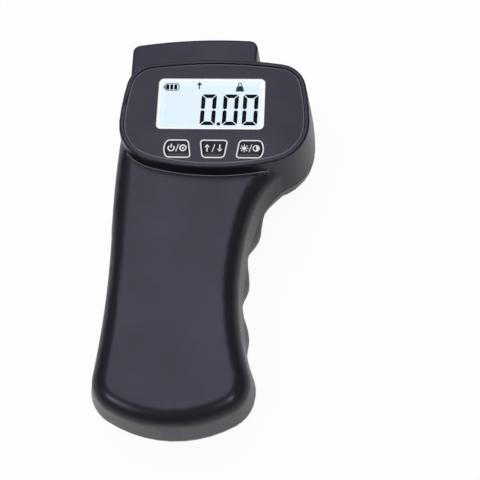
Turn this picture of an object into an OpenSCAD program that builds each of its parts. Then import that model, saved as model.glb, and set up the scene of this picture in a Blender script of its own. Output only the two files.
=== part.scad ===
// Hand-held digital force gauge: a two-part moulded housing with a finger-grooved grip, a display
// head that overhangs to the right, and a plain block at the top that holds the sensing end.
// The gauge lies on its back: +Z is the way the display faces, +Y runs from the pommel to the block.

/* [Body] */
// Length over the pommel and the block
overall_l = 161; // [154:0.5:168]
// Depth from the back to the front face of the grip
grip_d = 36.5; // [35:0.5:39]
// Height of the parting line above the back
part_z = 18; // [17.5:0.5:20]
// Thickness of the moulded walls
wall = 2.2; // [1.8:0.1:2.5]

/* [Grip] */
// Width across the pommel
pommel_w = 61.4; // [58:0.2:64]
// Height of the pommel's widest line above its end
pommel_h = 18.5; // [17.5:0.5:20]
// Corner radius of the pommel
pommel_r = 14; // [13:0.1:15]
// Distance from the grip's axis to the finger side at the waist
waist_right = 25; // [24:0.1:26.5]
// Radius of the hollow finger side
waist_r = 105; // [95:1:120]
// Distance from the grip's axis to the straight side at the waist
waist_left = 28; // [27.5:0.1:29]
// Radius of the slow curves of the straight side
side_r = 350; // [300:5:400]
// Height of the straight side's upper swell above the pommel's end
shoulder_h = 92; // [90:0.5:95]
// Rounding of the grip's front edge
front_r = 7; // [6:0.5:8]
// Slope of the side walls from the front rounding out to the parting line
side_draft = 1.8; // [1.2:0.1:2.4]
// Shift of the front face towards the finger side
front_lean = 0.7; // [0:0.1:1]
// Rounding of the grip's back edge, measured across the grip
back_r = 12; // [10:0.5:12.5]
// Depth of the line where the two halves of the housing part
seam = 0.25; // [0.15:0.05:0.4]

/* [Finger grooves] */
// Number of finger grooves
groove_n = 4; // [3:1:4]
// Distance between neighbouring grooves
groove_pitch = 21; // [19.5:0.1:21.5]
// Height of the top groove above the pommel's end
groove_h = 92.9; // [91:0.1:95]
// Share of the grooves' depth that the top one has, beside the head
top_groove = 0.35; // [0.3:0.05:0.8]
// Depth of the grooves on the back
groove_d = 3; // [2:0.1:3.4]
// Depth of the grooves on the flanks
groove_side = 1.6; // [1:0.1:2]
// Swell of the ridges on the finger side's back edge
ridge_out = 3; // [2:0.1:3.6]

/* [Head] */
// Width of the head's rim
head_w = 73.2; // [70:0.2:76]
// Height of the head's rim
head_h = 46.6; // [45:0.2:49]
// Height of the rim above the back
head_z = 42; // [41:0.5:45]
// Offset of the head from the grip's axis
head_dx = 12.25; // [10:0.05:14]
// Height of the block's end above the head's rim
block_rise = 16.2; // [14:0.1:18]
// Spread of the head's walls from the rim out to the parting line
head_flare = 2.2; // [1.5:0.1:2.6]
// Radius of the head's top edge
head_top_r = 170; // [150:5:200]
// Radius of the head's bottom edge
head_bottom_r = 95; // [85:1:110]
// Radius of the head's sides
head_side_r = 95; // [85:1:110]
// Distance of the head's widest line below its middle
head_wide = 6; // [5:0.5:9]
// Radius of the head's upper corners
head_corner_top = 11; // [10:0.5:13]
// Radius of the head's lower corners
head_corner_bottom = 16.5; // [15:0.5:18]
// Rounding of the overhanging head's back edge
head_back_r = 11; // [9:0.5:12]
// Radius of the hollow where the head's overhang meets the grip
blend_r = 33.5; // [28:0.5:38]
// Width of the rim around the face panel
rim_w = 1.7; // [1.5:0.1:2.2]
// Height of the rim above the face panel
rim_h = 0.4; // [0.3:0.1:0.8]
// Rounding of the rim's outer edge
rim_edge = 0.8; // [0.5:0.1:1]
// Width of the gutter round the head's foot
gutter_w = 0.9; // [0.6:0.1:1.2]
// Depth of the gutter round the head's foot
gutter_d = 0.6; // [0.4:0.1:0.8]

/* [Block] */
// Width of the block
block_w = 52; // [50:0.2:54]
// Offset of the block from the grip's axis
block_dx = 1.8; // [1:0.1:2.4]
// Height of the block's front face above the back
block_z = 31; // [30:0.5:34]
// Corner radius of the block
block_corner = 4; // [3.5:0.1:5]
// Radius of the block's end
block_top_r = 200; // [170:5:250]
// Distance of the end's highest point from the block's middle
block_skew = 9.5; // [0:0.5:12]
// Slope of the block's walls from the parting line to the front
block_draft = 0.6; // [0.3:0.1:1]
// Rounding of the block's edges
block_edge = 1; // [0.6:0.1:1.4]

/* [Display] */
// Width of the display window
window_w = 41.5; // [38:0.5:44]
// Height of the display window
window_h = 22.2; // [20:0.2:23]
// Corner radius of the display window
window_r = 2; // [1:0.1:3]
// Offset of the window from the head's middle, across
window_dx = -1.55; // [-2.5:0.05:0]
// Offset of the window from the head's middle, upwards
window_dy = 4.15; // [3.5:0.05:4.5]
// Width of the white border that shows inside the window
border_w = 1.2; // [0.8:0.1:1.6]
// Thickness of the face panel and of the window's lens
panel_t = 0.8; // [0.6:0.1:1]
// Thickness of the liquid crystal glass
lcd_t = 2.2; // [1.6:0.1:2.4]
// Thickness of the backlight
backlight_t = 3; // [2.5:0.1:3.2]
// Distance from the panel's seat down to the circuit board
board_drop = 7.6; // [7.4:0.1:8]
// Thickness of the circuit board
board_t = 1.6; // [1:0.1:1.6]

/* [Keys] */
// Width of a key's printed ring
key_w = 10.5; // [9.5:0.1:11]
// Height of a key's printed ring
key_h = 7.7; // [7:0.1:8]
// Distance between neighbouring keys
key_pitch = 13.9; // [13:0.1:14.5]
// Offset of the middle key from the head's middle
key_dx = 0.45; // [0:0.05:0.8]
// Height of the keys' middle above the head's lower edge
key_rise = 8.05; // [7.4:0.05:8.5]
// Slant of the keys' sides
key_slant = 0.9; // [0.6:0.1:1.2]
// Gap from the ring's outer edge to the key
key_inset = 0.75; // [0.6:0.05:0.9]
// Height of a key above the face panel
key_proud = 0.3; // [0.2:0.1:0.4]
// Travel of a key
key_travel = 0.5; // [0.3:0.05:0.6]
// Height of a switch body above the board
switch_h = 3.5; // [3.3:0.1:3.6]

/* [Force cell] */
// Width and depth of the force cell's bar
cell_w = 12.7; // [12:0.1:13]
// Distance from the battery door's screw to the bar's fixed end
cell_gap = 3; // [1.5:0.1:4]
// Height of the bar above the back
cell_z = 11.5; // [10.5:0.5:12]
// Radius of the sensing shaft
shaft_r = 5; // [4.5:0.1:6]
// Radius of the threaded hole in the shaft's end
thread_r = 2.5; // [2:0.1:3]
// Depth of the threaded hole
thread_depth = 8; // [6:0.5:9]
// Distance of the shaft's end inside the back
shaft_recess = 0.6; // [0.5:0.1:1]
// Distance from the shaft to the bar's free end
shaft_edge = 8; // [7.5:0.1:9]

/* [Batteries] */
// Number of cells
aaa_n = 3; // [2:1:3]
// Diameter of a cell
aaa_d = 10.5; // [9.5:0.1:10.5]
// Length of a cell with its button
aaa_l = 44.5; // [43:0.1:44.5]
// Distance between neighbouring cells
aaa_pitch = 11; // [10.7:0.1:11.4]
// Length of a pressed contact spring
spring_l = 6; // [5:0.5:7]
// Height of the battery bay above the pommel's end
bay_h = 14; // [13.5:0.5:15]
// Length of the battery door beyond the bay
door_tab = 13.5; // [12.5:0.1:14]
// Width of the ledge that the door rests on
ledge = 1; // [0.8:0.1:1.2]

/* [Fits] */
// Gap round the battery door, the keys and other loose pieces
fit = 0.25; // [0.2:0.05:0.3]
// Gap round pieces that are set in a seat
seat_fit = 0.1; // [0.05:0.01:0.15]
// Running gap round the sensing shaft
run_fit = 0.04; // [0.02:0.01:0.08]
// Radius of a housing screw's shank
screw_r = 1.25; // [1:0.05:1.4]
// Radius of a force cell screw's shank
bolt_r = 2; // [1.5:0.1:2]

/* [Hidden] */
$fn = 48;

// Colours
housing_grey = [0.27, 0.27, 0.31];
panel_grey = [0.25, 0.25, 0.29];
key_grey = [0.2, 0.2, 0.23];
white_plastic = [0.95, 0.95, 0.96];
lcd_blue = [0.86, 0.93, 0.96];
board_green = [0.1, 0.35, 0.2];
black_plastic = [0.12, 0.12, 0.13];
metal_grey = [0.72, 0.73, 0.75];
brass_yellow = [0.8, 0.66, 0.32];

// Places that the driving sizes give
end_y = -overall_l / 2;
top_y = overall_l / 2;
axis_x = (pommel_w / 2 - head_dx - head_w / 2 - head_flare) / 2;
head_x = axis_x + head_dx;
head_y = top_y - block_rise - head_h / 2;
floor_z = groove_d + wall;
panel_z = head_z - rim_h - panel_t;
board_z = panel_z - board_drop;
window_c = [head_x + window_dx, head_y + window_dy];
key_y = head_y - head_h / 2 + key_rise;
key_x = [for (i = [-1:1]) head_x + key_dx + i * key_pitch];
block_x = axis_x + block_dx;
flank_share = 0.35;

// Points of an outline: [centre x, centre y, radius, angle, 1 on a swell or -1 in a hollow].
// An inward offset shortens a swell's radius and lengthens a hollow's.
function at(p, d) = [
    p[0] + (p[2] - p[4] * d) * cos(p[3]),
    p[1] + (p[2] - p[4] * d) * sin(p[3])
];
// An arc of n points, which leaves out its end, or its start where first is 1
function arc(c, r, a0, a1, n, first, swell = 1) =
    [for (i = [first:n - 1 + first]) [c[0], c[1], r, a0 + (a1 - a0) * i / n, swell]];
function bearing(a, b) = atan2(b[1] - a[1], b[0] - a[0]);
// Where circles of radius ra round a and rb round b meet, left of the way from a to b for side 1
function meet(a, ra, b, rb, side) =
    let (d = norm(b - a), u = (b - a) / d, k = (d * d + ra * ra - rb * rb) / (2 * d))
    a + u * k + side * sqrt(max(0, ra * ra - k * k)) * [-u[1], u[0]];
function mirrored(p, x) = [2 * x - p[0], p[1], p[2], 180 - p[3], p[4]];
// A closed outline from a half that runs up the right and one that runs up the left
function closed(right, left) = concat(right, [for (i = [len(left) - 1:-1:0]) left[i]]);
function symmetric(right, left, x) = closed(right, [for (p = left) mirrored(p, x)]);
// Every other point, for the walls' inner faces
function coarse(outline) = [for (i = [0:2:len(outline) - 1]) outline[i]];
function ring(outline, d, z) = [for (p = outline) let (q = at(p, d)) [q[0], q[1], z]];

// The head's rim: four slow arcs joined by four corner arcs
function head_half(first) =
    let (
        top_c = [head_x, head_y + head_h / 2 - head_top_r],
        bottom_c = [head_x, head_y - head_h / 2 + head_bottom_r],
        side_c = [head_x + head_w / 2 - head_side_r, head_y - head_wide],
        low_c = meet(side_c, head_side_r - head_corner_bottom, bottom_c, head_bottom_r - head_corner_bottom, -1),
        high_c = meet(side_c, head_side_r - head_corner_top, top_c, head_top_r - head_corner_top, 1)
    )
    concat(
        arc(bottom_c, head_bottom_r, -90, bearing(bottom_c, low_c), 5, first),
        arc(low_c, head_corner_bottom, bearing(bottom_c, low_c), bearing(side_c, low_c), 6, first),
        arc(side_c, head_side_r, bearing(side_c, low_c), bearing(side_c, high_c), 3, first),
        arc(high_c, head_corner_top, bearing(side_c, high_c), bearing(top_c, high_c), 6, first),
        arc(top_c, head_top_r, bearing(top_c, high_c), 90, 4, first)
    );
head_outline = symmetric(head_half(0), head_half(1), head_x);

// The grip at the parting line: a rounded pommel, a hollow finger side that turns out into the
// head's overhang, and a nearly straight side. Its upper end closes inside the head.
pommel_cx = pommel_w / 2 - pommel_r;
end_r = (pommel_cx ^ 2 + pommel_h ^ 2 - pommel_r ^ 2) / (2 * (pommel_h - pommel_r));
end_c = [axis_x, end_y + end_r];
pommel_right = [axis_x + pommel_cx, end_y + pommel_h];
pommel_left = [axis_x - pommel_cx, end_y + pommel_h];
waist_c = [
    axis_x + waist_right + waist_r,
    pommel_right[1] + sqrt((waist_r + pommel_r) ^ 2 - (waist_right + waist_r - pommel_cx) ^ 2)
];
dip_c = [
    axis_x - waist_left - side_r,
    pommel_left[1] + sqrt((side_r + pommel_r) ^ 2 - (waist_left + side_r - pommel_cx) ^ 2)
];
swell_c = [
    dip_c[0] + sqrt((2 * side_r) ^ 2 - (end_y + shoulder_h - dip_c[1]) ^ 2),
    end_y + shoulder_h
];
// The head's lower right corner where its walls have spread to the parting line
overhang_c = let (p = head_half(0)[5]) [p[0], p[1]];
overhang_r = head_corner_bottom + head_flare - 0.6;
blend_c = meet(waist_c, waist_r - blend_r, overhang_c, overhang_r + blend_r, 1);
right_low_y = at([waist_c[0], waist_c[1], waist_r, bearing(waist_c, pommel_right), -1], 0)[1];
right_high_y = at([waist_c[0], waist_c[1], waist_r, bearing(waist_c, blend_c), -1], 0)[1];
left_low_y = at([dip_c[0], dip_c[1], side_r, bearing(dip_c, pommel_left), -1], 0)[1];
left_turn_y = (dip_c[1] + swell_c[1]) / 2;
crown_y = head_y + 12;
crown_r = 16;
crown_left_y = crown_y - crown_r;
stations = 24;

function waist_point(y) = [waist_c[0], waist_c[1], waist_r, 180 - asin((y - waist_c[1]) / waist_r), -1];
function dip_point(y) = [dip_c[0], dip_c[1], side_r, asin((y - dip_c[1]) / side_r), -1];
function swell_point(y) = [swell_c[0], swell_c[1], side_r, 180 - asin((y - swell_c[1]) / side_r), 1];
function left_point(y) = y < left_turn_y ? dip_point(y) : swell_point(y);
function between(a, b, i, n) = a + (b - a) * i / n;

grip_right = concat(
    arc(end_c, end_r, -90, bearing(end_c, pommel_right), 5, 0),
    arc(pommel_right, pommel_r, bearing(end_c, pommel_right), bearing(pommel_right, waist_c), 7, 0),
    [for (i = [0:stations - 1]) waist_point(between(right_low_y, right_high_y, i, stations))],
    arc(blend_c, blend_r, bearing(waist_c, blend_c), bearing(blend_c, overhang_c), 9, 0, -1),
    arc([axis_x + crown_r / 2, crown_y - crown_r], crown_r, 0, 90, 5, 0)
);
crown_c = let (r = side_r - crown_r, rise = crown_left_y - swell_c[1])
    [swell_c[0] - sqrt(r ^ 2 - rise ^ 2), crown_left_y];
crown_start = swell_c + side_r * (crown_c - swell_c) / (side_r - crown_r);
grip_left = concat(
    arc(end_c, end_r, -90, bearing(end_c, pommel_left), 5, 1),
    arc(pommel_left, pommel_r, bearing(end_c, pommel_left), bearing(pommel_left, dip_c) - 360, 7, 1),
    [for (i = [1:stations]) left_point(between(left_low_y, right_high_y, i, stations))],
    [for (i = [1:9]) swell_point(between(right_high_y, crown_start[1], i, 9))],
    arc(crown_c, crown_r, bearing(swell_c, crown_c), 90, 5, 1)
);
grip_outline = closed(grip_right, grip_left);
grip_inner = coarse(grip_outline);

// The block: straight sides, a slightly rounded end, and a lower end that closes inside the head
block_low_r = 14;
function block_half(first, skew) =
    let (
        top_c = [block_x + skew, top_y - block_top_r],
        reach = block_w / 2 - block_corner,
        corner_c = [block_x + reach, top_c[1] + sqrt((block_top_r - block_corner) ^ 2 - (reach - skew) ^ 2)],
        low_c = [block_x + block_w / 2 - block_low_r, head_y]
    )
    concat(
        arc(low_c, block_low_r, -90, 0, 6, first),
        arc(corner_c, block_corner, 0, bearing(top_c, corner_c), 6, first),
        arc(top_c, block_top_r, bearing(top_c, corner_c), 90 + asin(skew / block_top_r), 4, first)
    );
block_outline = symmetric(block_half(0, block_skew), block_half(1, -block_skew), block_x);

// Depth share of the finger grooves at a height along the grip, 1 in the middle of a groove
function groove_turn(y) = (end_y + groove_h + groove_pitch / 2 - y) / groove_pitch;
function groove(y) =
    let (u = groove_turn(y))
    u <= 0 || u >= groove_n ? 0 : (u < 1 ? top_groove : 1) * (1 - cos(360 * u)) / 2;
// Swell share of the ridges between them, 0 in the middle of a groove
function ridge(y) =
    let (u = groove_turn(y))
    u <= 0.5 || u >= groove_n - 0.5 ? 0 : abs(cos(180 * u));
// A ring round the grip, set in by side and raised by lift in the grooves, which run straight across
function station_y(i) =
    let (n = len(grip_outline))
    (at(grip_outline[i], 0) + at(grip_outline[(n - i) % n], 0))[1] / 2;
// On the finger side, swell brings the ridges out.
function grooved_ring(d, side, z, lift, swell = 0) = [
    for (i = [0:len(grip_outline) - 1])
    let (
        y = station_y(i),
        g = groove(y),
        out = i < len(grip_right) ? swell * ridge(y) : 0,
        q = at(grip_outline[i], d + side * g - out)
    )
    [q[0], q[1], z + lift * g]
];
function shifted(ring, dx) = [for (p = ring) p + [dx, 0, 0]];

// Rings from the back at z0 up to z1, rounded by r
function back_rings(outline, d, r, z0, z1, n) = [
    for (i = [0:n])
    let (t = 90 * (1 - i / n))
    ring(outline, d + r * (1 - cos(t)), z1 - (z1 - z0) * sin(t))
];
function steps(n) = [for (i = [0:n]) 90 * i / n];

flank_side = flank_share * groove_side;
grip_front_rings = concat(
    [grooved_ring(seam, flank_side, part_z, 0), grooved_ring(0, flank_side, part_z + seam, 0)],
    [
        for (t = steps(5))
        shifted(ring(grip_outline, side_draft + front_r * (1 - cos(t)), grip_d - front_r * (1 - sin(t))), front_lean)
    ]
);
flank_wall = wall + flank_side;
grip_front_cavity = concat(
    [ring(grip_inner, flank_wall, part_z - 1)],
    [
        for (t = steps(3))
        let (inner_r = front_r - wall)
        shifted(
            ring(grip_inner, wall + side_draft + inner_r * (1 - cos(t)), grip_d - front_r + inner_r * sin(t)),
            front_lean
        )
    ]
);
grip_back_rings = concat(
    [
        for (t = [90:-15:15])
        grooved_ring(
            back_r * (1 - cos(t)),
            groove_side * (flank_share + (1 - flank_share) * sin(t)),
            part_z * (1 - sin(t)),
            groove_d * sin(t) ^ 2,
            ridge_out * sin(2 * t)
        )
    ],
    [grooved_ring(0, flank_side, part_z - seam, 0), grooved_ring(seam, flank_side, part_z, 0)]
);
function raised(rings) = concat(rings, [[for (p = rings[len(rings) - 1]) p + [0, 0, 1]]]);

function head_offset(z) = -head_flare * (head_z - rim_edge - z) / (head_z - rim_edge - part_z);
head_front_rings = concat(
    [ring(head_outline, seam - head_flare, part_z), ring(head_outline, -head_flare, part_z + seam)],
    [for (t = steps(3)) ring(head_outline, rim_edge * (1 - cos(t)), head_z - rim_edge * (1 - sin(t)))]
);
head_front_cavity = [for (z = [part_z - 1, panel_z - wall]) ring(head_outline, wall + head_offset(z), z)];
head_back_rings = concat(
    back_rings(head_outline, -head_flare, head_back_r, 0, part_z - seam, 5),
    [ring(head_outline, seam - head_flare, part_z)]
);
block_front_rings = concat(
    [ring(block_outline, seam, part_z), ring(block_outline, 0, part_z + seam)],
    [
        for (t = steps(3))
        ring(block_outline, block_draft + block_edge * (1 - cos(t)), block_z - block_edge * (1 - sin(t)))
    ]
);
block_front_cavity = [
    ring(block_outline, wall, part_z - 1),
    ring(block_outline, wall + block_draft, block_z - wall)
];
block_back_rings = concat(
    [for (t = steps(3)) ring(block_outline, block_draft + block_edge * (1 - sin(t)), block_edge * (1 - cos(t)))],
    [ring(block_outline, 0, part_z - seam), ring(block_outline, seam, part_z)]
);
block_back_cavity = [ring(block_outline, wall + block_draft, wall), ring(block_outline, wall, part_z + 1)];

// A closed solid over rings of one even count. Its ends are ruled from the right half to the left.
module loft(rings) {
    n = len(rings[0]);
    last = (len(rings) - 1) * n;
    low = concat(
        [[0, 1, n - 1]],
        [for (i = [1:n / 2 - 2]) each [[i, i + 1, n - 1 - i], [i, n - 1 - i, n - i]]],
        [[n / 2 - 1, n / 2, n / 2 + 1]]
    );
    high = [for (f = low) [last + f[2], last + f[1], last + f[0]]];
    sides = [
        for (k = [0:len(rings) - 2], i = [0:n - 1])
        let (a = k * n + i, b = k * n + (i + 1) % n)
        each [[a, a + n, b + n], [a, b + n, b]]
    ];
    polyhedron([for (r = rings) each r], concat(low, sides, high));
}

// A round tube along a path; ref is a direction that the path never takes
module tube(path, r, sides, ref) {
    last = len(path) - 1;
    rings = [
        for (i = [0:last])
        let (
            way = path[min(i + 1, last)] - path[max(i - 1, 0)],
            across = cross(way, ref) / norm(cross(way, ref)),
            up = cross(across, way) / norm(way)
        )
        [for (k = [0:sides - 1]) path[i] + r * (cos(360 * k / sides) * up + sin(360 * k / sides) * across)]
    ];
    loft(rings);
}

function rounded(w, h, r) = [
    for (i = [0:3], t = [0:15:90])
    let (sx = i == 0 || i == 3 ? 1 : -1, sy = i < 2 ? 1 : -1)
    [sx * (w / 2 - r) + r * cos(90 * i + t), sy * (h / 2 - r) + r * sin(90 * i + t)]
];
module plate(c, w, h, r, z0, z1) {
    translate([c[0], c[1], z0]) linear_extrude(z1 - z0) polygon(rounded(w, h, r));
}
module rod(c, r, z0, z1) {
    translate([c[0], c[1], z0]) cylinder(r = r, h = z1 - z0);
}
module block(c, w, h, z0, z1) {
    translate([c[0] - w / 2, c[1] - h / 2, z0]) cube([w, h, z1 - z0]);
}
module head_plate(d, z0, z1) {
    translate([0, 0, z0]) linear_extrude(z1 - z0) polygon([for (p = head_outline) at(p, d)]);
}

// The housing's outer forms and hollows
module front_form() {
    difference() {
        loft(grip_front_rings);
        head_plate(head_offset(grip_d) - gutter_w, grip_d - gutter_d, grip_d + 1);
    }
    loft(head_front_rings);
    loft(block_front_rings);
}
module front_hollow() {
    loft(grip_front_cavity);
    loft(head_front_cavity);
    loft(block_front_cavity);
}
module back_form() {
    loft(grip_back_rings);
    loft(head_back_rings);
    loft(block_back_rings);
}
module back_hollow() {
    loft(raised(back_rings(grip_inner, flank_wall, back_r - wall, floor_z, part_z, 4)));
    loft(raised(back_rings(head_outline, wall - head_flare, head_back_r - wall, 1.3 * wall, part_z, 3)));
    loft(block_back_cavity);
}

// Battery bay and door
contact_t = 0.4;
bay_gap = 0.3;
bay_wall = 1.6;
bay_w = (aaa_n - 1) * aaa_pitch + aaa_d + 2 * bay_gap + 0.4;
bay_l = aaa_l + spring_l + 2 * contact_t;
bay_c = [axis_x + (waist_right - waist_left) / 2, end_y + bay_h + bay_l / 2];
bay_roof = floor_z + aaa_d + 2 * bay_gap;
aaa_z = floor_z + bay_gap + aaa_d / 2;
door_w = bay_w + 2 * ledge;
door_l = bay_l + ledge + door_tab;
door_c = [bay_c[0], bay_c[1] + (door_tab - ledge) / 2];
door_r = 4;
door_screw_c = [bay_c[0], door_c[1] + door_l / 2 - 4.5];
tab_c = [bay_c[0], bay_c[1] + (bay_l + door_tab) / 2];
door_seat = floor_z - 1.7;
insert_r = 2.1;
insert_l = 5;
boss_r = insert_r + 1.6;

// Housing screws: [x, y, seat of the head, tip of the screw]
screw_head_r = 2.5;
screw_head_h = 1.8;
post_r = screw_r + 2;
screw_reach = 14;
grip_seat = floor_z;
block_seat = wall + screw_head_h;
cell_y1 = top_y - wall - 2;
cell_y0 = door_screw_c[1] + cell_gap;
cell_l = cell_y1 - cell_y0;
post_dx = cell_w / 2 + post_r + 10;
SCREWS = [
    [bay_c[0], end_y + bay_h / 2 + 1, grip_seat, part_z + screw_reach - 3],
    [axis_x - post_dx - 1, cell_y0 + 0.15 * cell_l, grip_seat, part_z + screw_reach - 3],
    [axis_x + post_dx, cell_y0 + 0.15 * cell_l, grip_seat, part_z + screw_reach - 3],
    [head_x + head_w / 2 - 8, head_y + 10.5, block_seat, part_z + screw_reach],
    [head_x + head_w / 2 - 8, head_y - 8, block_seat, part_z + screw_reach],
    [block_x - post_dx - 1, top_y - block_corner - post_r - 2, block_seat, part_z + 7],
    [block_x + post_dx + 1, top_y - block_corner - post_r - 2, block_seat, part_z + 7]
];
// A screw's head with a cross recess, from its face at z to its seat at z + h
recess_w = 0.7;
module cross_head(c, r, z, h) {
    difference() {
        rod(c, r, z, z + h);
        for (a = [0, 90]) translate([c[0], c[1], z]) rotate(a) cube([1.3 * r, recess_w, 1.2 * h], center = true);
    }
}
module screw_posts(z0, z1) {
    for (s = SCREWS) rod(s, post_r, z0, z1, $fn = 20);
}
module screw_cups() {
    for (s = SCREWS) rod(s, screw_head_r + fit + 1, 0, s[2] + 1.2, $fn = 20);
}

// Keys: the middle one narrows downwards, and the outer two have a pointed outer side
key_round = 1.5;
function key_points(kind) =
    let (w = key_w / 2 - key_round, h = key_h / 2 - key_round, s = key_slant)
    kind == 0
    ? [[-w, h], [w, h], [w - s, -h], [-w + s, -h]]
    : [for (p = [[-w + s, h], [w - s, h], [w, 0], [w - s, -h], [-w, -h]]) [p[0] * kind, p[1]]];
module key_shape(kind, inset) {
    offset(delta = -inset) offset(r = key_round, $fn = 24) polygon(key_points(kind));
}
KEY_KINDS = [-1, 0, 1];
flange_z = board_z + switch_h + 0.8;
flange_t = 0.8;
flange_w = 1.2;
plunger_r = 1.7;
switch_w = 5.2;
switch_floor = 1.2;
key_slope_l = 1.6;
key_slope_a = 15;
module key_holes(z0, z1) {
    for (i = [0:2]) translate([key_x[i], key_y, z0]) linear_extrude(z1 - z0) key_shape(KEY_KINDS[i], key_inset - fit);
}
module key_cap(i) {
    crown = panel_z + panel_t + key_proud;
    kind = KEY_KINDS[i];
    translate([key_x[i], key_y, flange_z]) difference() {
        union() {
            intersection() {
                linear_extrude(flange_t) key_shape(kind, key_inset - flange_w);
                translate([-key_x[i], -key_y, 0]) head_plate(wall + fit, 0, flange_t);
            }
            linear_extrude(crown - flange_z) key_shape(kind, key_inset);
        }
        // The lower edge slopes away from the thumb
        translate([0, key_inset + key_slope_l - key_h / 2, crown - flange_z])
        rotate([key_slope_a, 0, 0]) translate([-key_w, -key_h, 0]) cube([2 * key_w, key_h, key_h]);
    }
}
module key_plunger(i) {
    rod([key_x[i], key_y], plunger_r, board_z + switch_floor + key_travel + 0.3, flange_z);
}

// Display stack
frame_lip = 0.8;
frame_wall = 1;
frame_w = window_w + 7;
frame_h = window_h + 7;
frame_top = panel_z - 0.05;
glass_w = frame_w - 2 * frame_wall - 2 * seat_fit;
glass_h = frame_h - 2 * frame_wall - 2 * seat_fit;
glass_top = frame_top - frame_lip;
strip_w = 2.2;
backlight_h = glass_h - 2 * strip_w - 1;

// Board screws hang the circuit board from the front housing
board_inset = wall + 1;
board_screw_r = 0.9;
board_boss_r = 1.9;
boss_gap = 0.6;
boss_dx = frame_w / 2 + boss_gap + board_boss_r;
BOARD_SCREWS = [window_c + [-boss_dx, 4], window_c + [-boss_dx, -13], window_c + [boss_dx, -2.5]];

// Force cell
shaft_c = [axis_x, cell_y1 - shaft_edge];
plate_t = 1.5;
cell_seat_l = 0.3 * cell_l;
cell_seat_c = [axis_x, cell_y0 + 0.2 * cell_l];
CELL_SCREWS = [for (side = [-1, 1]) cell_seat_c + [0, side * 0.09 * cell_l]];
cell_seat_w = cell_w + 4;
stud_r = 2.5;
nut_h = 3;
bush_r = shaft_r + 2;
bush_flange_r = min(shaft_r + 3.6, top_y - wall - block_draft - shaft_c[1] - 0.6);
seal_t = 1;
seal_z = 0.3;

// Cells in the bay
// Cell i of the row: its place across the bay and which way it points
function aaa_x(i) = (i - (aaa_n - 1) / 2) * aaa_pitch;
function aaa_way(i) = i % 2 == 0 ? 0 : 180;
module each_cell() {
    for (i = [0:aaa_n - 1]) translate([bay_c[0] + aaa_x(i), bay_c[1], aaa_z]) rotate(aaa_way(i)) children();
}

// resize() with zeros changes no size: it makes one mesh of the lofted walls and their cut-outs.
module front_housing() color(housing_grey) resize([0, 0, 0]) difference() {
    union() {
        difference() {
            front_form();
            front_hollow();
        }
        intersection() {
            front_form();
            union() {
                screw_posts(part_z, head_z);
                for (c = BOARD_SCREWS) rod(c, board_boss_r, board_z, head_z, $fn = 20);
            }
        }
    }
    head_plate(rim_w, panel_z, head_z + 1);
    plate(window_c, frame_w + 2 * seat_fit, frame_h + 2 * seat_fit, window_r, panel_z - wall - 1, panel_z + 1);
    key_holes(panel_z - wall - 1, panel_z + 1);
    for (s = SCREWS) rod(s, screw_r + seat_fit / 2, part_z - 1, s[3] + 0.5, $fn = 20);
    for (c = BOARD_SCREWS) rod(c, board_screw_r + seat_fit / 2, board_z - 1, board_z + 4.5, $fn = 16);
}

module rear_housing() color(housing_grey) resize([0, 0, 0]) difference() {
    union() {
        difference() {
            back_form();
            back_hollow();
        }
        intersection() {
            back_form();
            union() {
                screw_posts(0, part_z);
                screw_cups();
                plate(bay_c, bay_w + 2 * bay_wall, bay_l + 2 * bay_wall, 2, 0, part_z);
                block(cell_seat_c, cell_seat_w, cell_seat_l, 0, cell_z - plate_t);
                block(tab_c, door_w + 2 * wall, door_tab + 2 * wall, floor_z, floor_z + wall);
                rod(door_screw_c, boss_r, floor_z, min(floor_z + insert_l + 0.9, cell_z - 0.4), $fn = 20);
            }
        }
    }
    block(bay_c, bay_w, bay_l, -1, bay_roof);
    plate(door_c, door_w, door_l, door_r, -1, floor_z);
    block(bay_c, bay_w + 4 * bay_wall, bay_l + 4 * bay_wall, bay_roof + bay_wall, part_z + 1);
    rod(door_screw_c, insert_r + seat_fit / 2, 0, floor_z + insert_l + 0.3, $fn = 24);
    for (c = CELL_SCREWS) rod(c, bolt_r + seat_fit / 2, floor_z - 1.5, part_z, $fn = 24);
    rod(shaft_c, bush_r + seat_fit / 2, -1, wall + 1, $fn = 40);
    for (s = SCREWS) {
        rod(s, screw_r + seat_fit, 0, part_z + 1, $fn = 20);
        rod(s, screw_head_r + fit, -1, s[2], $fn = 20);
    }
}

module face_panel() color(panel_grey) difference() {
    head_plate(rim_w + seat_fit, panel_z, panel_z + panel_t);
    plate(window_c, window_w, window_h, window_r, panel_z - 1, panel_z + panel_t + 1);
    key_holes(panel_z - 1, panel_z + panel_t + 1);
}

module window_lens() color(lcd_blue, 0.4)
    plate(window_c, window_w - 2 * seat_fit, window_h - 2 * seat_fit, window_r - seat_fit, panel_z, panel_z + panel_t);

module lcd_frame() color(white_plastic) difference() {
    plate(window_c, frame_w, frame_h, window_r, board_z, frame_top);
    block(window_c, frame_w - 2 * frame_wall, frame_h - 2 * frame_wall, board_z - 1, glass_top);
    plate(window_c, window_w - 2 * border_w, window_h - 2 * border_w, window_r / 2, glass_top - 1, frame_top + 1);
}

module lcd_glass() color(lcd_blue)
    block(window_c, glass_w, glass_h, glass_top - lcd_t, glass_top);

module backlight() color(white_plastic)
    block(window_c, glass_w, backlight_h, glass_top - lcd_t - backlight_t, glass_top - lcd_t);

module lcd_strips() color(black_plastic)
    for (side = [-1, 1])
    block(window_c + [0, side * (glass_h - strip_w) / 2], glass_w - 4, strip_w, board_z, glass_top - lcd_t);

module main_board() color(board_green) difference() {
    head_plate(board_inset, board_z - board_t, board_z);
    for (s = SCREWS) rod(s, post_r + fit, board_z - board_t - 1, board_z + 1);
    for (c = BOARD_SCREWS) rod(c, board_screw_r + seat_fit, board_z - board_t - 1, board_z + 1);
}

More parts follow.
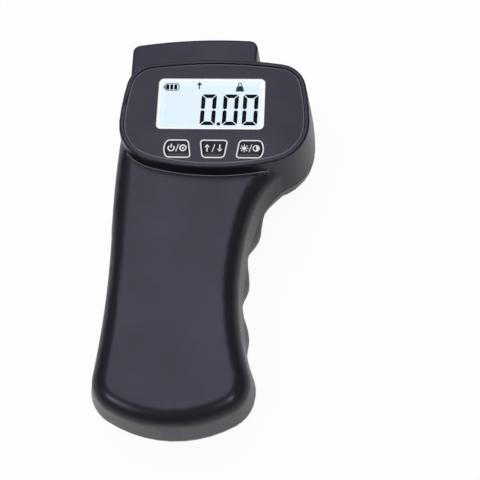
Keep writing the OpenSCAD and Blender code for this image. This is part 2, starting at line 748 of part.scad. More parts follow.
// Chips under the board: [offset from the head's middle, width, height, thickness]
CHIPS = [[[4, -2], 10, 10, 1.4], [[17, 4], 5, 6, 1.6], [[12, -13], 8, 3.5, 2.4], [[-22, 2], 5, 5, 1.2]];
module board_chips() color(black_plastic)
    for (c = CHIPS)
    block([head_x, head_y] + c[0], c[1], c[2], board_z - board_t - c[3], board_z - board_t);

HEADERS = [[-22, -9], [4, 10]];
header_size = [7.5, 4.5, 4.2];
module board_headers() color(white_plastic)
    for (h = HEADERS) difference() {
        block([head_x, head_y] + h, header_size[0], header_size[1], board_z - board_t - header_size[2], board_z - board_t);
        block([head_x, head_y] + h, header_size[0] - 1.6, header_size[1] - 1.6,
            board_z - board_t - header_size[2] - 1, board_z - board_t - 1);
    }

module board_screws() color(metal_grey)
    for (c = BOARD_SCREWS) {
        rod(c, board_screw_r, board_z - board_t, board_z + 4);
        cross_head(c, board_boss_r - 0.5, board_z - board_t - 1.3, 1.3);
    }

module key_switches() color(black_plastic)
    for (x = key_x) difference() {
        block([x, key_y], switch_w, switch_w, board_z, board_z + switch_h);
        rod([x, key_y], plunger_r + 0.15, board_z + switch_floor, board_z + switch_h + 1);
    }

module power_key() color(key_grey) key_cap(0);
module unit_key() color(key_grey) key_cap(1);
module light_key() color(key_grey) key_cap(2);
module power_plunger() color(white_plastic) key_plunger(0);
module unit_plunger() color(white_plastic) key_plunger(1);
module light_plunger() color(white_plastic) key_plunger(2);

// A bending bar: two joined cross bores leave thin webs above and below, where the gauges sit
web_dy = cell_l / 10;
web_r = cell_w / 2 - 1.6;
cell_mid = [axis_x, (cell_y0 + cell_y1) / 2];
module load_cell() color(metal_grey) difference() {
    block(cell_mid, cell_w, cell_l, cell_z, cell_z + cell_w);
    for (side = [-1, 1])
    translate([axis_x - cell_w, cell_mid[1] + side * web_dy, cell_z + cell_w / 2])
    rotate([0, 90, 0]) cylinder(r = web_r, h = 2 * cell_w);
    block(cell_mid, 2 * cell_w, 2 * web_dy, cell_z + cell_w / 2 - 1, cell_z + cell_w / 2 + 1);
    for (c = CELL_SCREWS) rod(c, bolt_r + seat_fit, cell_z - 1, cell_z + cell_w + 1);
    rod(shaft_c, stud_r + seat_fit, cell_z - 1, cell_z + cell_w + 1);
}

gauge_t = 0.4;
gauge_l = 0.75 * web_dy;
module strain_gauges() color(white_plastic)
    for (side = [-1, 1], z = [cell_z - gauge_t, cell_z + cell_w])
    block(cell_mid + [0, side * web_dy], cell_w - 4, gauge_l, z, z + gauge_t);

module cell_plate() color(metal_grey) difference() {
    plate(cell_seat_c, cell_seat_w, cell_seat_l, 1.5, cell_z - plate_t, cell_z);
    for (c = CELL_SCREWS) rod(c, bolt_r + seat_fit, 0, cell_z + 1);
}

module cell_screws() color(metal_grey)
    for (c = CELL_SCREWS) {
        rod(c, bolt_r, floor_z - 1, cell_z + cell_w);
        difference() {
            rod(c, 1.75 * bolt_r, cell_z + cell_w, cell_z + cell_w + 1.6 * bolt_r);
            rod(c, bolt_r, cell_z + cell_w + 0.6 * bolt_r, cell_z + cell_w + 2 * bolt_r, $fn = 6);
        }
    }

module sensing_shaft() color(metal_grey) difference() {
    union() {
        rod(shaft_c, shaft_r, shaft_recess, cell_z);
        rod(shaft_c, stud_r, cell_z, cell_z + cell_w + nut_h + 0.5);
    }
    rod(shaft_c, thread_r, shaft_recess - 1, shaft_recess + thread_depth);
}

module shaft_nut() color(metal_grey) difference() {
    rod(shaft_c, 2 * stud_r, cell_z + cell_w, cell_z + cell_w + nut_h, $fn = 6);
    rod(shaft_c, stud_r + seat_fit / 2, cell_z, cell_z + 2 * cell_w);
}

module guide_bush() color(brass_yellow) difference() {
    union() {
        rod(shaft_c, bush_r, seal_z + seal_t, cell_z - 3);
        rod(shaft_c, bush_flange_r, wall, wall + 1.4);
    }
    rod(shaft_c, shaft_r + run_fit, 0, cell_z);
}

module dust_seal() color(black_plastic) difference() {
    rod(shaft_c, bush_r, seal_z, seal_z + seal_t);
    rod(shaft_c, shaft_r + run_fit, 0, cell_z);
}

button_r = 1.9;
button_h = 1.1;
module battery_cells() color([0.75, 0.6, 0.3]) each_cell() translate([0, (spring_l - aaa_l) / 2, 0]) rotate([-90, 0, 0]) {
    cylinder(d = aaa_d, h = aaa_l - button_h);
    cylinder(r = button_r, h = aaa_l);
}

// A cone of wire that winds out from the cell's flat end to its contact
wire_r = 0.35;
spring_turns = 3;
spring_steps = 8;
spring_in_r = 2.4;
spring_out_r = 4.2;
function spring_point(u) =
    let (r = spring_in_r + (spring_out_r - spring_in_r) * u)
    [
        r * cos(360 * spring_turns * u),
        (spring_l - aaa_l) / 2 - wire_r - (spring_l - 2 * wire_r) * u,
        r * sin(360 * spring_turns * u)
    ];
spring_path = [for (i = [0:spring_turns * spring_steps]) spring_point(i / (spring_turns * spring_steps))];
spring_gap = min([
    for (i = [0:len(spring_path) - 1], j = [i + spring_steps - 2:len(spring_path) - 1])
    norm(spring_path[i] - spring_path[j])
]) - 2 * wire_r;
module battery_springs() color(metal_grey) {
    echo(spring_gap = spring_gap);
    each_cell() tube(spring_path, wire_r, 6, [0, 1, 0]);
}

contact_w = 9;
module battery_contacts() color(metal_grey)
    each_cell() for (y = [-bay_l / 2, bay_l / 2 - contact_t])
    translate([-contact_w / 2, y, -contact_w / 2]) cube([contact_w, contact_t, contact_w]);

module battery_door() color(housing_grey) resize([0, 0, 0]) difference() {
    intersection() {
        loft(grip_back_rings);
        plate(door_c, door_w - 2 * fit, door_l - 2 * fit, door_r - fit, -1, floor_z);
    }
    rod(door_screw_c, screw_r + seat_fit, 0, floor_z + 1, $fn = 20);
    rod(door_screw_c, screw_head_r + fit, -1, door_seat, $fn = 24);
}

module door_screw() color(metal_grey) {
    rod(door_screw_c, screw_r, door_seat, floor_z + insert_l);
    cross_head(door_screw_c, screw_head_r, door_seat - screw_head_h, screw_head_h);
}

module door_insert() color(brass_yellow) difference() {
    rod(door_screw_c, insert_r, floor_z, floor_z + insert_l);
    rod(door_screw_c, screw_r + seat_fit / 2, 0, floor_z + 2 * insert_l);
}

module housing_screws() color(metal_grey)
    for (s = SCREWS) {
        rod(s, screw_r, s[2], s[3]);
        cross_head(s, screw_head_r, s[2] - screw_head_h, screw_head_h);
    }

// Leads: hand-laid routes from the battery bay and from the force cell up to the board's headers
lead_r = 0.7;
header_z = board_z - board_t - header_size[2];
module battery_leads() color([0.7, 0.1, 0.1])
    for (side = [-1, 1])
    let (
        start = [bay_c[0] - 12 + side, bay_c[1] + bay_l / 2 + bay_wall + 0.3, bay_roof - 3],
        end = [head_x + HEADERS[0][0] + side, head_y + HEADERS[0][1], header_z - 0.2]
    )
    tube([start, start + [0, 2, 0], start + [0, 4, 1.5], [start[0] - 3, start[1] + 10, part_z + 3], [end[0], end[1] - 12, header_z - 6],
        [end[0], end[1] - 3, header_z - 4], [end[0], end[1] - 0.4, header_z - 2.5], end], lead_r, 8, [1, 0, 0]);

module cell_lead() color([0.85, 0.85, 0.85])
    let (
        start = [axis_x + cell_w / 2 + 0.2, cell_mid[1], cell_z + cell_w - 2],
        end = [head_x + HEADERS[1][0], head_y + HEADERS[1][1], header_z - 0.2]
    )
    tube([start, start + [2, 0.4, 0], [end[0] - 2, start[1] + 5, start[2]], [end[0], end[1] - 4, header_z - 4],
        [end[0], end[1] - 0.4, header_z - 2.5], end], lead_r, 8, [0.3, 0, 1]);

front_housing();
rear_housing();
face_panel();
window_lens();
lcd_frame();
lcd_glass();
backlight();
lcd_strips();
main_board();
board_chips();
board_headers();
board_screws();
key_switches();
power_key();
unit_key();
light_key();
power_plunger();
unit_plunger();
light_plunger();
load_cell();
strain_gauges();
cell_plate();
cell_screws();
sensing_shaft();
shaft_nut();
guide_bush();
dust_seal();
battery_cells();
battery_springs();
battery_contacts();
battery_door();
door_screw();
door_insert();
housing_screws();
battery_leads();
cell_lead();
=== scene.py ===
import math
import bmesh
import bpy
from mathutils import Matrix, Vector


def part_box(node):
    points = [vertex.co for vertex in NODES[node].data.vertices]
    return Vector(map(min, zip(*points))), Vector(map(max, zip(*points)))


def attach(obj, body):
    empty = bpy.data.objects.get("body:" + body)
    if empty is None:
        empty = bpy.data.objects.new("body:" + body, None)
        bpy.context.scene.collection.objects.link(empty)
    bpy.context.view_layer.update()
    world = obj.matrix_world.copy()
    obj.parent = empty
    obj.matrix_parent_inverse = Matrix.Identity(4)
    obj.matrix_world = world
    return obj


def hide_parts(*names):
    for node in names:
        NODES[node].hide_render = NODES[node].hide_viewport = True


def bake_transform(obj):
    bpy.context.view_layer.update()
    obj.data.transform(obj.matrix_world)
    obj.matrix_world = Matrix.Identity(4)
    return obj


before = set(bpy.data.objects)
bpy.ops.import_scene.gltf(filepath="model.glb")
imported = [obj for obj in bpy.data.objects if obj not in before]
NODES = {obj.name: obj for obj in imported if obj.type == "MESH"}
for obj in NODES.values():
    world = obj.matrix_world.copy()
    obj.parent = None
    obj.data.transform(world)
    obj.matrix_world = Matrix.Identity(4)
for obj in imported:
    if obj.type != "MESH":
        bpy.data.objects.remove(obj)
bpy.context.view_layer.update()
MM = 0.001


def middle(node):
    low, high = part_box(node)
    return (Vector(low) + Vector(high)) / 2


# Places on the gauge that the new pieces go to, in millimetres
WINDOW = middle("window_lens") / MM
PANEL_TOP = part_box("face_panel")[1][2] / MM
GLASS_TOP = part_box("lcd_glass")[1][2] / MM
KEY_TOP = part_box("unit_key")[1][2] / MM
KEY_Y = middle("unit_key").y / MM
KEY_PITCH = 13.9
KEY_X = {
    "power": middle("unit_key").x / MM - KEY_PITCH,
    "unit": middle("unit_key").x / MM,
    "light": middle("unit_key").x / MM + KEY_PITCH,
}

# Camera, floor and lights

CAMERA_TURN = math.radians(12)
CAMERA_RISE = math.radians(69)
CAMERA_ROLL = math.radians(-10.35)
CAMERA_LENS = 78.75
CAMERA_SENSOR = 36
CAMERA_NEAR = 0.01
CAMERA_SPOT = Vector((WINDOW.x + 42.11, WINDOW.y - 190.35, 399.34)) * MM
FLOOR_SIZE = 8
FLOOR_COLOUR = (0.88, 0.88, 0.89, 1)
FLOOR_SEEN = 0.94
FLOOR_MIRRORED = 0.4
WORLD_COLOUR = (0.92, 0.95, 1, 1)
WORLD_STRENGTH = 0.25
POMMEL = (0, -0.07, 0.02)


def deselect():
    bpy.ops.object.select_all(action="DESELECT")


def add_camera():
    back = Vector((
        math.sin(CAMERA_TURN) * math.cos(CAMERA_RISE),
        -math.cos(CAMERA_TURN) * math.cos(CAMERA_RISE),
        math.sin(CAMERA_RISE),
    ))
    right = Vector((math.cos(CAMERA_TURN), math.sin(CAMERA_TURN), 0))
    up = back.cross(right)
    rolled_right = right * math.cos(CAMERA_ROLL) + up * math.sin(CAMERA_ROLL)
    rolled_up = up * math.cos(CAMERA_ROLL) - right * math.sin(CAMERA_ROLL)
    axes = Matrix((rolled_right, rolled_up, back)).transposed()
    bpy.ops.object.camera_add(location=CAMERA_SPOT, rotation=axes.to_euler())
    camera = bpy.context.object
    camera.data.sensor_width = CAMERA_SENSOR
    camera.data.lens = CAMERA_LENS
    camera.data.clip_start = CAMERA_NEAR
    bpy.context.scene.camera = camera


def new_material(name):
    material = bpy.data.materials.new(name)
    material.use_nodes = True
    return material, material.node_tree.nodes, material.node_tree.links


def add_math(nodes, links, operation, first, second):
    """A math node. Its first value comes from a socket, its second from a socket or a plain number."""
    node = nodes.new("ShaderNodeMath")
    node.operation = operation
    links.new(first, node.inputs[0])
    if isinstance(second, float):
        node.inputs[1].default_value = second
    else:
        links.new(second, node.inputs[1])
    return node.outputs[0]


def add_floor():
    """White paper that glows a little where it is seen or mirrored, and is clear from below."""
    deselect()
    bpy.ops.mesh.primitive_plane_add(size=FLOOR_SIZE, location=(0, 0, 0))
    floor = bpy.context.object
    floor.name = "studio_floor"
    material, nodes, links = new_material("white_table")
    nodes.clear()
    out = nodes.new("ShaderNodeOutputMaterial")
    paper = nodes.new("ShaderNodeBsdfDiffuse")
    paper.inputs["Color"].default_value = FLOOR_COLOUR
    glow = nodes.new("ShaderNodeEmission")
    glow.inputs["Color"].default_value = (1, 1, 1, 1)
    glow.inputs["Strength"].default_value = 1
    rays = nodes.new("ShaderNodeLightPath").outputs
    straight = add_math(nodes, links, "MAXIMUM", rays["Is Camera Ray"], rays["Is Transmission Ray"])
    seen = add_math(nodes, links, "MULTIPLY", straight, FLOOR_SEEN)
    mirrored = add_math(nodes, links, "MULTIPLY", rays["Is Glossy Ray"], FLOOR_MIRRORED)
    lit = nodes.new("ShaderNodeMixShader")
    below = nodes.new("ShaderNodeMixShader")
    clear = nodes.new("ShaderNodeBsdfTransparent")
    side = nodes.new("ShaderNodeNewGeometry")
    links.new(add_math(nodes, links, "MAXIMUM", seen, mirrored), lit.inputs["Fac"])
    links.new(paper.outputs[0], lit.inputs[1])
    links.new(glow.outputs[0], lit.inputs[2])
    links.new(side.outputs["Backfacing"], below.inputs["Fac"])
    links.new(lit.outputs[0], below.inputs[1])
    links.new(clear.outputs[0], below.inputs[2])
    links.new(below.outputs[0], out.inputs["Surface"])
    floor.data.materials.append(material)


def add_softbox(name, spot, target, size, power):
    bpy.ops.object.light_add(type="AREA", location=spot)
    lamp = bpy.context.object
    lamp.name = name
    lamp.data.shape = "RECTANGLE"
    lamp.data.size, lamp.data.size_y = size
    lamp.data.energy = power
    lamp.rotation_euler = (Vector(target) - Vector(spot)).to_track_quat("-Z", "Y").to_euler()


def add_light():
    world = bpy.data.worlds.new("studio")
    world.use_nodes = True
    background = world.node_tree.nodes["Background"]
    background.inputs["Color"].default_value = WORLD_COLOUR
    background.inputs["Strength"].default_value = WORLD_STRENGTH
    bpy.context.scene.world = world
    add_softbox("overhead_softbox", (-0.07, 0.23, 0.72), (-0.07, 0.229, 0), size=(0.5, 0.76), power=3.35)
    add_softbox("left_lamp", (-0.42, -0.39, 0.5), POMMEL, size=(0.12, 0.12), power=1.1)
    add_softbox("right_lamp", (0.36, -0.39, 0.54), POMMEL, size=(0.1, 0.1), power=0.9)


bpy.context.scene.view_settings.view_transform = "Standard"
add_camera()
add_floor()
add_light()

# Finishes

SHEEN = (0.74, 0.73, 1.0)
DRIFT_SCALE = 45
DRIFT_LOW = 0.3
DRIFT_HIGH = 0.7
ROUGH_SPREAD = 0.05
ROUGH_LEAST = 0.02
RELIEF = 0.1
LENS_COLOUR = (0.05, 0.05, 0.05, 1)
LENS_ALPHA = 0.025
LENS_ROUGH = (0.04, 0.1)
SMEAR_SCALE = 60


def finish_material(name, colour, roughness, grain, depth, drift=0.06, metallic=0.0, gloss=0.5,
                    tint=(1, 1, 1), glow=0.0):
    """A finish with slow drift in its colour and gloss, and fine grain in its roughness and relief."""
    material, nodes, links = new_material(name)
    shader = nodes["Principled BSDF"]
    shader.inputs["Metallic"].default_value = metallic
    shader.inputs["Specular Tint"].default_value = (*tint, 1)
    shader.inputs["Emission Color"].default_value = (*colour, 1)
    shader.inputs["Emission Strength"].default_value = glow
    place = nodes.new("ShaderNodeTexCoord")
    slow = nodes.new("ShaderNodeTexNoise")
    slow.inputs["Scale"].default_value = DRIFT_SCALE
    slow.inputs["Detail"].default_value = 3
    fine = nodes.new("ShaderNodeTexNoise")
    fine.inputs["Scale"].default_value = grain
    fine.inputs["Detail"].default_value = 2
    shade = nodes.new("ShaderNodeValToRGB")
    shade.color_ramp.elements[0].position = DRIFT_LOW
    shade.color_ramp.elements[1].position = DRIFT_HIGH
    shade.color_ramp.elements[0].color = [c * (1 - drift) for c in colour] + [1]
    shade.color_ramp.elements[1].color = [min(1, c * (1 + drift)) for c in colour] + [1]
    rough = nodes.new("ShaderNodeMapRange")
    rough.inputs["To Min"].default_value = max(ROUGH_LEAST, roughness - ROUGH_SPREAD)
    rough.inputs["To Max"].default_value = roughness + ROUGH_SPREAD
    polish = nodes.new("ShaderNodeMapRange")
    polish.inputs["From Min"].default_value = DRIFT_LOW
    polish.inputs["From Max"].default_value = DRIFT_HIGH
    polish.inputs["To Min"].default_value = gloss * (1 - 2 * drift)
    polish.inputs["To Max"].default_value = gloss * (1 + 2 * drift)
    relief = nodes.new("ShaderNodeBump")
    relief.inputs["Strength"].default_value = depth
    relief.inputs["Distance"].default_value = RELIEF * MM
    links.new(place.outputs["Object"], slow.inputs["Vector"])
    links.new(place.outputs["Object"], fine.inputs["Vector"])
    links.new(slow.outputs["Fac"], shade.inputs["Fac"])
    links.new(shade.outputs["Color"], shader.inputs["Base Color"])
    links.new(slow.outputs["Fac"], polish.inputs["Value"])
    links.new(polish.outputs["Result"], shader.inputs["Specular IOR Level"])
    links.new(fine.outputs["Fac"], rough.inputs["Value"])
    links.new(rough.outputs["Result"], shader.inputs["Roughness"])
    links.new(fine.outputs["Fac"], relief.inputs["Height"])
    links.new(relief.outputs["Normal"], shader.inputs["Normal"])
    return material


def moulded(name, colour, roughness, grain, depth, gloss=0.36):
    """A dark moulding, whose gloss has a bluish tint."""
    return finish_material(name, colour, roughness, grain, depth, gloss=gloss, tint=SHEEN)


def display_ink(name, colour):
    return finish_material(name, colour, 0.7, 1500, 0.02, gloss=0)


def metal(name, colour, roughness, grain, depth, drift=0.05):
    return finish_material(name, colour, roughness, grain, depth, drift, metallic=1.0)


def lens_material():
    """A clear sheet with a faint smear."""
    material, nodes, links = new_material("clear_lens")
    shader = nodes["Principled BSDF"]
    shader.inputs["Base Color"].default_value = LENS_COLOUR
    shader.inputs["Alpha"].default_value = LENS_ALPHA
    place = nodes.new("ShaderNodeTexCoord")
    smear = nodes.new("ShaderNodeTexNoise")
    smear.inputs["Scale"].default_value = SMEAR_SCALE
    rough = nodes.new("ShaderNodeMapRange")
    rough.inputs["To Min"].default_value = LENS_ROUGH[0]
    rough.inputs["To Max"].default_value = LENS_ROUGH[1]
    links.new(place.outputs["Object"], smear.inputs["Vector"])
    links.new(smear.outputs["Fac"], rough.inputs["Value"])
    links.new(rough.outputs["Result"], shader.inputs["Roughness"])
    return material


# Each finish has a name, a colour, a roughness, the scale of its grain and the depth of its relief
HOUSING = moulded("moulded_black_plastic", (0.009, 0.009, 0.011), 0.33, 2600, 0.12)
PANEL = moulded("panel_film", (0.012, 0.0115, 0.0145), 0.38, 3200, 0.06)
# A pale grey for the slope at the panel's border: a painted highlight line.
PAINTED_EDGE_HIGHLIGHT = moulded("painted_edge_highlight", (0.13, 0.13, 0.145), 0.4, 3200, 0.06)
# A pale grey for the bead at the head's foot: a painted highlight line.
HIGHLIGHT_BEAD = moulded("painted_highlight_bead", (0.2, 0.2, 0.22), 0.4, 2600, 0.06)
KEY = moulded("key_rubber", (0.008, 0.008, 0.0095), 0.45, 2600, 0.08, gloss=0.22)
PRINT = finish_material("pale_print", (0.74, 0.74, 0.79), 0.5, 1800, 0.05, drift=0.03)
# A slightly paler, glossier finish for the lower slope of the keys: a painted highlight.
EDGE = moulded("painted_key_highlight", (0.01, 0.01, 0.012), 0.35, 2600, 0.06, gloss=0.5)
BORDER = finish_material("white_carrier", (0.93, 0.93, 0.95), 0.45, 1500, 0.04, drift=0.01, glow=0.26)
FIELD = finish_material("lcd_field", (0.72, 0.84, 0.92), 0.35, 1500, 0.02, drift=0.02, gloss=0.3, glow=0.14)
SEGMENT = display_ink("lcd_segment", (0.003, 0.003, 0.004))
MARK = display_ink("lcd_mark", (0.03, 0.04, 0.05))
OUTLINE = display_ink("lcd_outline", (0.2, 0.23, 0.24))
LENS = lens_material()
WHITE = finish_material("white_nylon", (0.8, 0.8, 0.8), 0.45, 1500, 0.05, drift=0.02)
BOARD = finish_material("solder_mask", (0.012, 0.1, 0.035), 0.35, 900, 0.15)
CHIP = finish_material("chip_black", (0.012, 0.012, 0.013), 0.55, 2400, 0.1)
RUBBER = finish_material("seal_rubber", (0.014, 0.014, 0.015), 0.7, 1200, 0.15)
STEEL = metal("zinc_steel", (0.55, 0.56, 0.58), 0.3, 1500, 0.08)
ALLOY = metal("milled_alloy", (0.68, 0.69, 0.7), 0.35, 900, 0.12)
BRASS = metal("turned_brass", (0.62, 0.42, 0.16), 0.3, 1200, 0.08, drift=0.06)
FOIL = finish_material("gauge_coat", (0.55, 0.42, 0.16), 0.3, 800, 0.1)
JACKET = finish_material("cell_jacket", (0.02, 0.05, 0.12), 0.3, 700, 0.05)
LEAD = finish_material("lead_jacket", (0.35, 0.02, 0.02), 0.45, 1200, 0.05)
CABLE = finish_material("pale_cable", (0.6, 0.6, 0.6), 0.45, 1200, 0.05)

NODE_FINISH = {
    "front_housing": HOUSING, "rear_housing": HOUSING, "battery_door": HOUSING, "face_panel": PANEL,
    "window_lens": LENS, "lcd_frame": BORDER, "lcd_glass": FIELD, "backlight": WHITE, "lcd_strips": RUBBER,
    "main_board": BOARD, "board_chips": CHIP, "board_headers": WHITE, "board_screws": STEEL,
    "key_switches": CHIP, "power_key": KEY, "unit_key": KEY, "light_key": KEY,
    "power_plunger": WHITE, "unit_plunger": WHITE, "light_plunger": WHITE,
    "load_cell": ALLOY, "strain_gauges": FOIL, "cell_plate": STEEL, "cell_screws": STEEL,
    "sensing_shaft": STEEL, "shaft_nut": STEEL, "guide_bush": BRASS, "dust_seal": RUBBER,
    "battery_cells": JACKET, "battery_springs": STEEL, "battery_contacts": STEEL, "door_screw": STEEL,
    "door_insert": BRASS, "housing_screws": STEEL, "battery_leads": LEAD, "cell_lead": CABLE,
}
for node, finish in NODE_FINISH.items():
    NODES[node].data.materials.clear()
    NODES[node].data.materials.append(finish)

# Working on a mesh

TOUCH = 0.01
PRINT_T = 0.03
ARROW_DROP = 0.4
ARROW_RISE = 0.95


def select_all():
    bpy.ops.mesh.select_all(action="SELECT")


def open_edit(piece, mode="FACE"):
    deselect()
    piece.select_set(True)
    bpy.context.view_layer.objects.active = piece
    bpy.ops.object.mode_set(mode="EDIT")
    bpy.ops.mesh.select_mode(type=mode)
    select_all()


def close_edit():
    bpy.ops.object.mode_set(mode="OBJECT")


def link_object(name, mesh):
    piece = bpy.data.objects.new(name, mesh)
    bpy.context.scene.collection.objects.link(piece)
    return piece


def new_piece(name, finish):
    piece = link_object(name, bpy.data.meshes.new(name))
    piece.data.materials.append(finish)
    open_edit(piece, "VERT")
    return piece


def pick(piece, kind, test, within=False):
    """Select the vertices, edges or faces whose middle, in millimetres, passes the test."""
    bpy.ops.mesh.select_mode(type=kind)
    grid = bmesh.from_edit_mesh(piece.data)
    items = {"VERT": grid.verts, "EDGE": grid.edges, "FACE": grid.faces}[kind]
    wanted = []
    for item in items:
        corners = [item] if kind == "VERT" else item.verts
        spot = sum((v.co for v in corners), Vector()) / len(corners) / MM
        if (item.select or not within) and test(spot):
            wanted.append(item)
    bpy.ops.mesh.select_all(action="DESELECT")
    for item in wanted:
        item.select_set(True)
    grid.select_flush_mode()
    bmesh.update_edit_mesh(piece.data)


def paint(piece, finish, test):
    """Give the faces that pass the test a second finish."""
    piece.data.materials.append(finish)
    open_edit(piece)
    pick(piece, "FACE", test)
    piece.active_material_index = 1
    bpy.ops.object.material_slot_assign()
    close_edit()


def shift(x, y, z=0.0):
    bpy.ops.transform.translate(value=(x * MM, y * MM, z * MM))


def scale(x, y, z, about):
    bpy.ops.transform.resize(value=(x, y, z), center_override=Vector(about) * MM)


def extrude(x, y, z):
    bpy.ops.mesh.extrude_region_move(TRANSFORM_OT_translate={"value": (x * MM, y * MM, z * MM)})


def inset(width):
    bpy.ops.mesh.inset(thickness=width * MM)


def cut_across(axis, place):
    """Cut the selected faces by a plane that is square to an axis."""
    bpy.ops.mesh.bisect(plane_co=Vector(axis) * place * MM, plane_no=axis)


def round_corners(radius, segments):
    bpy.ops.mesh.bevel(offset=radius * MM, segments=segments, affect="VERTICES")


def hollow(line):
    """Leave only a line along the border of the selected patch."""
    bpy.ops.mesh.select_mode(type="FACE")
    inset(line)
    bpy.ops.mesh.delete(type="FACE")


def face_outwards():
    select_all()
    bpy.ops.mesh.normals_make_consistent(inside=False)


def soften(piece, width, segments, angle):
    """Bevel the edges that turn by more than the angle."""
    edge = piece.modifiers.new("soft_edge", "BEVEL")
    edge.width = width * MM
    edge.segments = segments
    edge.limit_method = "ANGLE"
    edge.angle_limit = math.radians(angle)
    bpy.ops.object.modifier_apply(modifier=edge.name)


def smooth(angle):
    bpy.ops.object.shade_smooth_by_angle(angle=math.radians(angle))


def add_patch(x, y, z, width, height):
    bpy.ops.mesh.primitive_plane_add(size=MM, location=(0, 0, 0))
    scale(width, height, 1, (0, 0, 0))
    shift(x, y, z)


def add_disc(x, y, z, radius, sides=40):
    bpy.ops.mesh.primitive_circle_add(
        vertices=sides, radius=radius * MM, fill_type="NGON", location=(0, 0, 0))
    shift(x, y, z)


def add_loop(x, y, z, radius, line, sides=40):
    add_disc(x, y, z, radius, sides)
    hollow(line)


def add_arrow(piece, x, y, z, way, bar, head):
    """A short arrow: a bar, and a patch drawn to a point. Each has a width and a height."""
    head_y = y + ARROW_RISE * way
    add_patch(x, y - ARROW_DROP * way, z, *bar)
    add_patch(x, head_y, z, *head)
    pick(piece, "VERT", lambda p: (p.y - head_y) * way > 0, within=True)
    bpy.ops.mesh.merge(type="CENTER")


def close_print(piece, body):
    """Give a flat print its thickness, and fix it to a body."""
    bpy.ops.mesh.select_mode(type="FACE")
    select_all()
    extrude(0, 0, PRINT_T)
    face_outwards()
    close_edit()
    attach(piece, body)


# Skins of the CAD pieces: smooth over the moulded curves, with softened edges on the crisp pieces

# Points nearer than this become one, and faces that turn by less than a flat angle become one
SAME_POINT = 0.002
MOULDED_FLAT = math.radians(0.4)
CRISP_FLAT = math.radians(0.5)
# Shade is smooth where faces turn by less than a turn, and edges above an edge angle are softened, in degrees
MOULDED_TURN = 32
WIRE_TURN = 60
CRISP_TURN = 38
CRISP_EDGE = 40
TURNED_TURN = 40
TURNED_EDGE = 50
BEND_CUTS = 6
RIM_SLOPE = 0.6
# Depth of the painted highlight band below the panel's top
HIGHLIGHT_BAND_DEPTH = 0.2
# Half sizes of the boxes round the window and the row of keys
WINDOW_HALF = (22, 12)
KEYS_HALF = (19.2, 3.9)
# Limits of the place on the step's edge where points crowd
CROWD_LOW = (16.4, 17.3, 36.4)
CROWD_HIGH = (17.1, 17.6, 36.6)
BEAD_R = 0.22
BEAD_CORNER = math.radians(40)
# How far the normals of the grip's face and the head's wall point up and out, beside the bead
FACE_UP = 0.8
WALL_UP = 0.6
WALL_OUT = 0.2
# Where the painted highlight on the keys' lower slope begins, and how far below the key's top it reaches
KEY_HIGHLIGHT_Y = KEY_Y - 2.1
KEY_HIGHLIGHT_DEPTH = 0.6


def copy_node(node, name, flat):
    """A copy of a CAD piece, open for editing, with faces in one plane made one."""
    skin = link_object(name, NODES[node].data.copy())
    open_edit(skin)
    bpy.ops.mesh.remove_doubles(threshold=SAME_POINT * MM)
    bpy.ops.mesh.dissolve_limited(angle_limit=flat)
    return skin


def stand_in(skin, node, body):
    """Even the shade, and let the skin take the place of its node."""
    weight = skin.modifiers.new("face_weight", "WEIGHTED_NORMAL")
    weight.keep_sharp = True
    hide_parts(node)
    if body:
        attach(skin, body)
    return skin


def smooth_skin(node, name, body, turn=MOULDED_TURN):
    skin = copy_node(node, name, MOULDED_FLAT)
    close_edit()
    smooth(turn)
    return stand_in(skin, node, body)


def soft_edged(node, name, body, width, segments=2, rim=None):
    """Soften the edges. Those that the rim test picks get a wide slope first."""
    skin = copy_node(node, name, CRISP_FLAT)
    if rim:
        pick(skin, "EDGE", rim)
        bpy.ops.mesh.bevel(offset=RIM_SLOPE * MM, segments=2, affect="EDGES")
    close_edit()
    soften(skin, width, segments, CRISP_EDGE)
    smooth(CRISP_TURN)
    return stand_in(skin, node, body)


def in_box(p, x, y, half):
    return abs(p.x - x) < half[0] and abs(p.y - y) < half[1]


def past_cutouts(p):
    """Outside the window and the row of keys."""
    in_window = in_box(p, WINDOW.x, WINDOW.y, WINDOW_HALF)
    in_keys = in_box(p, KEY_X["unit"], KEY_Y, KEYS_HALF)
    return not in_window and not in_keys


def on_panel_rim(p):
    """The upper edge of the panel's border."""
    return p.z > PANEL_TOP - TOUCH and past_cutouts(p)


def on_highlight_slope(p):
    """The upper part of the slope at the panel's border, where the painted highlight line goes."""
    return PANEL_TOP - HIGHLIGHT_BAND_DEPTH < p.z < PANEL_TOP - TOUCH and past_cutouts(p)


def panel_film():
    """The border's slope is given a paler grey, a painted highlight that shows there as a thin pale line."""
    film = soft_edged("face_panel", "panel_film", "housing", width=0.2, rim=on_panel_rim)
    paint(film, PAINTED_EDGE_HIGHLIGHT, on_highlight_slope)


def bending(node, name, width):
    """A piece of the force cell, cut across into slices between the ends of the gauges. In the gauge it is
    fixed at one end, and its other end goes with the shaft.
    """
    fixed_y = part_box("strain_gauges")[0][1]
    free_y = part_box("strain_gauges")[1][1]
    piece = soft_edged(node, name, None, width)
    open_edit(piece)
    for i in range(BEND_CUTS + 1):
        select_all()
        cut_across((0, 1, 0), (fixed_y + (free_y - fixed_y) * i / BEND_CUTS) / MM)
    close_edit()
    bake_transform(piece)


def in_crowd(p):
    return all(low < value < high for low, value, high in zip(CROWD_LOW, p, CROWD_HIGH))


def front_shell():
    """Points that crowd on the step's edge become one, so that the shade runs evenly round it."""
    skin = smooth_skin("front_housing", "front_shell", "housing")
    open_edit(skin, "VERT")
    pick(skin, "VERT", in_crowd)
    bpy.ops.mesh.merge(type="CENTER")
    close_edit()


